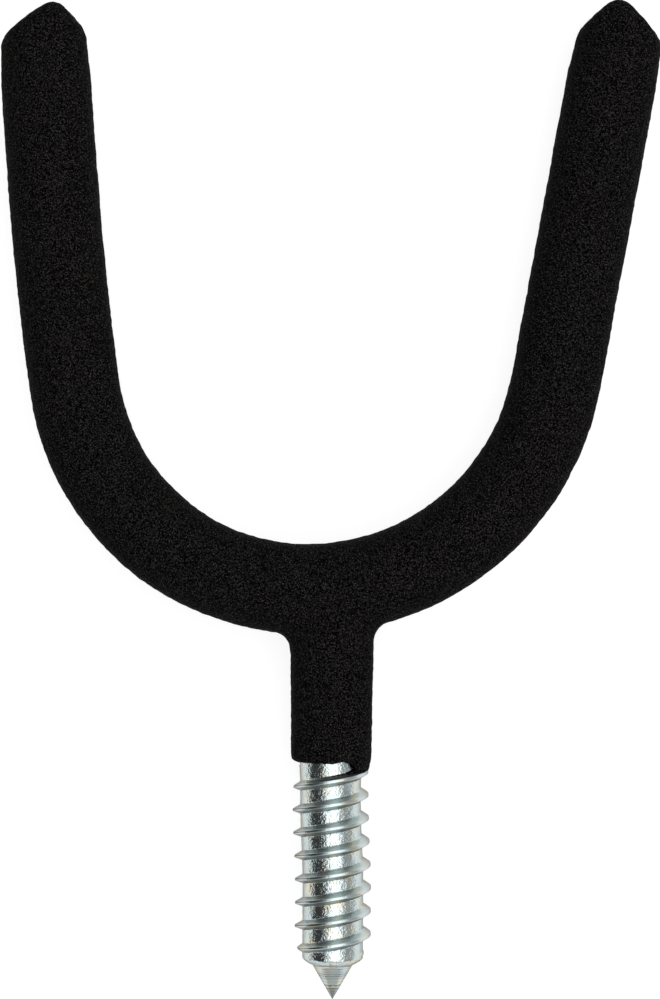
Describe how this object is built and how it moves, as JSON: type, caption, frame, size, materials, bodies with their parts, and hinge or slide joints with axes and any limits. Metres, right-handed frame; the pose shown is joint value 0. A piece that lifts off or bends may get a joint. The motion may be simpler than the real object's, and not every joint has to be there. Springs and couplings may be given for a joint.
{
  "type": "wall mounting hook",
  "caption": "U-shaped screw-in storage hook: a steel fork in a soft black vinyl skin on a short stem with a bare lag thread and a gimlet-like point.",
  "frame": {"origin": "on the screw's axis at the wall's face, where the bare thread begins below the dipped skin", "axes": "+Y along the screw from its point towards the fork's open end, X across the fork from its left arm to its right arm, +Z square to the fork's plane; the hook lies flat on its skin, resting at Z = -4.67 mm"},
  "size_m": [0.0686, 0.1036, 0.0094],
  "materials": {
    "black_vinyl": "matte",
    "bright_zinc": "gloss"
  },
  "bodies": {
    "root": {"dipped_fork": "black_vinyl", "lag_screw": "bright_zinc"}
  },
  "joints": []
}
